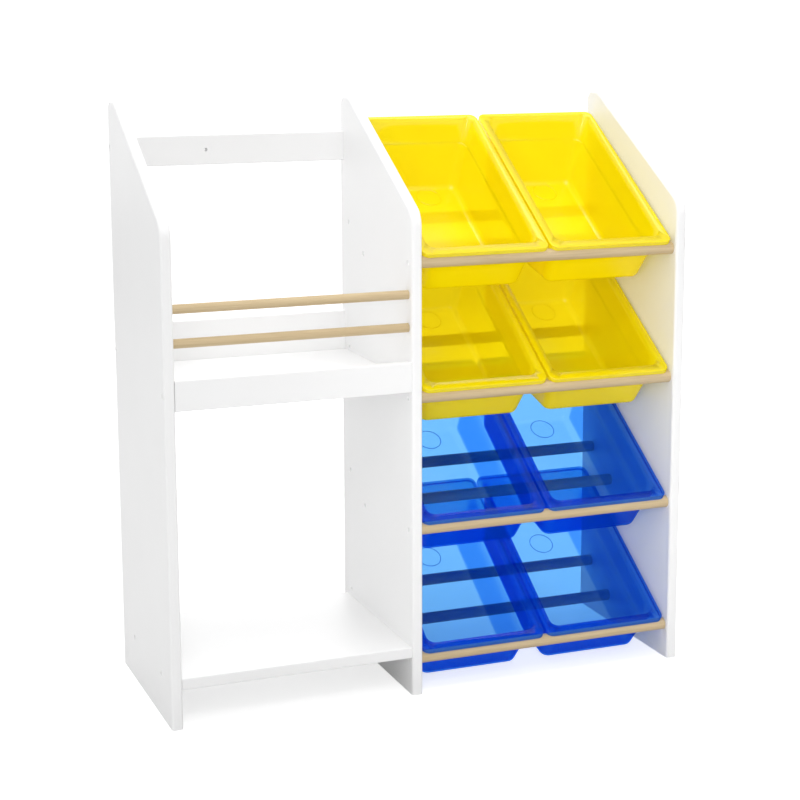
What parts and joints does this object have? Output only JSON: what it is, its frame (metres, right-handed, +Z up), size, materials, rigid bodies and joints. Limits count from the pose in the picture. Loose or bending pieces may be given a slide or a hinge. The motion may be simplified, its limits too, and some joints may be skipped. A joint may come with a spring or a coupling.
{
  "type": "toy storage organizer",
  "caption": "White toy storage organizer: slanted side panels, a book rack, tray and low shelf beside tilted, lift-out plastic bins carried on wooden rods.",
  "frame": {"origin": "on the floor, in the middle of the three panels' footprint", "axes": "+X to the viewer's right, +Y from the front to the back, +Z up"},
  "size_m": [0.743, 0.2842, 0.8],
  "materials": {
    "white_board": "satin white paint",
    "natural_wood": "bare sanded wood",
    "yellow_plastic": "moulded, slightly translucent",
    "blue_plastic": "moulded, slightly translucent",
    "screw_steel": "plated"
  },
  "bodies": {
    "frame": {"left_side_panel": "white_board", "middle_panel": "white_board", "right_side_panel": "white_board", "top_back_rail": "white_board", "tray_back_rail": "white_board", "tray_front_fascia": "white_board", "tray_floor": "white_board", "bottom_shelf": "white_board", "lower_book_rod": "natural_wood", "upper_book_rod": "natural_wood", "tier_1_front_rod": "natural_wood", "tier_1_lower_rear_rod": "natural_wood", "tier_1_upper_rear_rod": "natural_wood", "tier_2_front_rod": "natural_wood", "tier_2_lower_rear_rod": "natural_wood", "tier_2_upper_rear_rod": "natural_wood", "tier_3_front_rod": "natural_wood", "tier_3_lower_rear_rod": "natural_wood", "tier_3_upper_rear_rod": "natural_wood", "tier_4_front_rod": "natural_wood", "tier_4_lower_rear_rod": "natural_wood", "tier_4_upper_rear_rod": "natural_wood", "left_panel_screws": "screw_steel", "middle_panel_board_screws": "screw_steel", "middle_panel_rod_screws": "screw_steel", "right_panel_screws": "screw_steel", "left_panel_pins": "natural_wood", "middle_panel_pins": "natural_wood"},
    "tier_1_left_bin": {"tier_1_left_bin": "yellow_plastic"},
    "tier_1_right_bin": {"tier_1_right_bin": "yellow_plastic"},
    "tier_2_left_bin": {"tier_2_left_bin": "yellow_plastic"},
    "tier_2_right_bin": {"tier_2_right_bin": "yellow_plastic"},
    "tier_3_left_bin": {"tier_3_left_bin": "blue_plastic"},
    "tier_3_right_bin": {"tier_3_right_bin": "blue_plastic"},
    "tier_4_left_bin": {"tier_4_left_bin": "blue_plastic"},
    "tier_4_right_bin": {"tier_4_right_bin": "blue_plastic"}
  },
  "joints": [
    {"name": "tier_1_left_bin_lift", "type": "slide", "parent": "frame", "child": "tier_1_left_bin", "axis": [0, -0.5446, 0.8387], "range_m": [0, 0.12]},
    {"name": "tier_1_right_bin_lift", "type": "slide", "parent": "frame", "child": "tier_1_right_bin", "axis": [0, -0.5446, 0.8387], "range_m": [0, 0.12]},
    {"name": "tier_2_left_bin_lift", "type": "slide", "parent": "frame", "child": "tier_2_left_bin", "axis": [0, -0.5446, 0.8387], "range_m": [0, 0.026]},
    {"name": "tier_2_right_bin_lift", "type": "slide", "parent": "frame", "child": "tier_2_right_bin", "axis": [0, -0.5446, 0.8387], "range_m": [0, 0.026]},
    {"name": "tier_3_left_bin_lift", "type": "slide", "parent": "frame", "child": "tier_3_left_bin", "axis": [0, -0.5446, 0.8387], "range_m": [0, 0.026]},
    {"name": "tier_3_right_bin_lift", "type": "slide", "parent": "frame", "child": "tier_3_right_bin", "axis": [0, -0.5446, 0.8387], "range_m": [0, 0.026]},
    {"name": "tier_4_left_bin_lift", "type": "slide", "parent": "frame", "child": "tier_4_left_bin", "axis": [0, -0.5446, 0.8387], "range_m": [0, 0.026]},
    {"name": "tier_4_right_bin_lift", "type": "slide", "parent": "frame", "child": "tier_4_right_bin", "axis": [0, -0.5446, 0.8387], "range_m": [0, 0.026]}
  ]
}
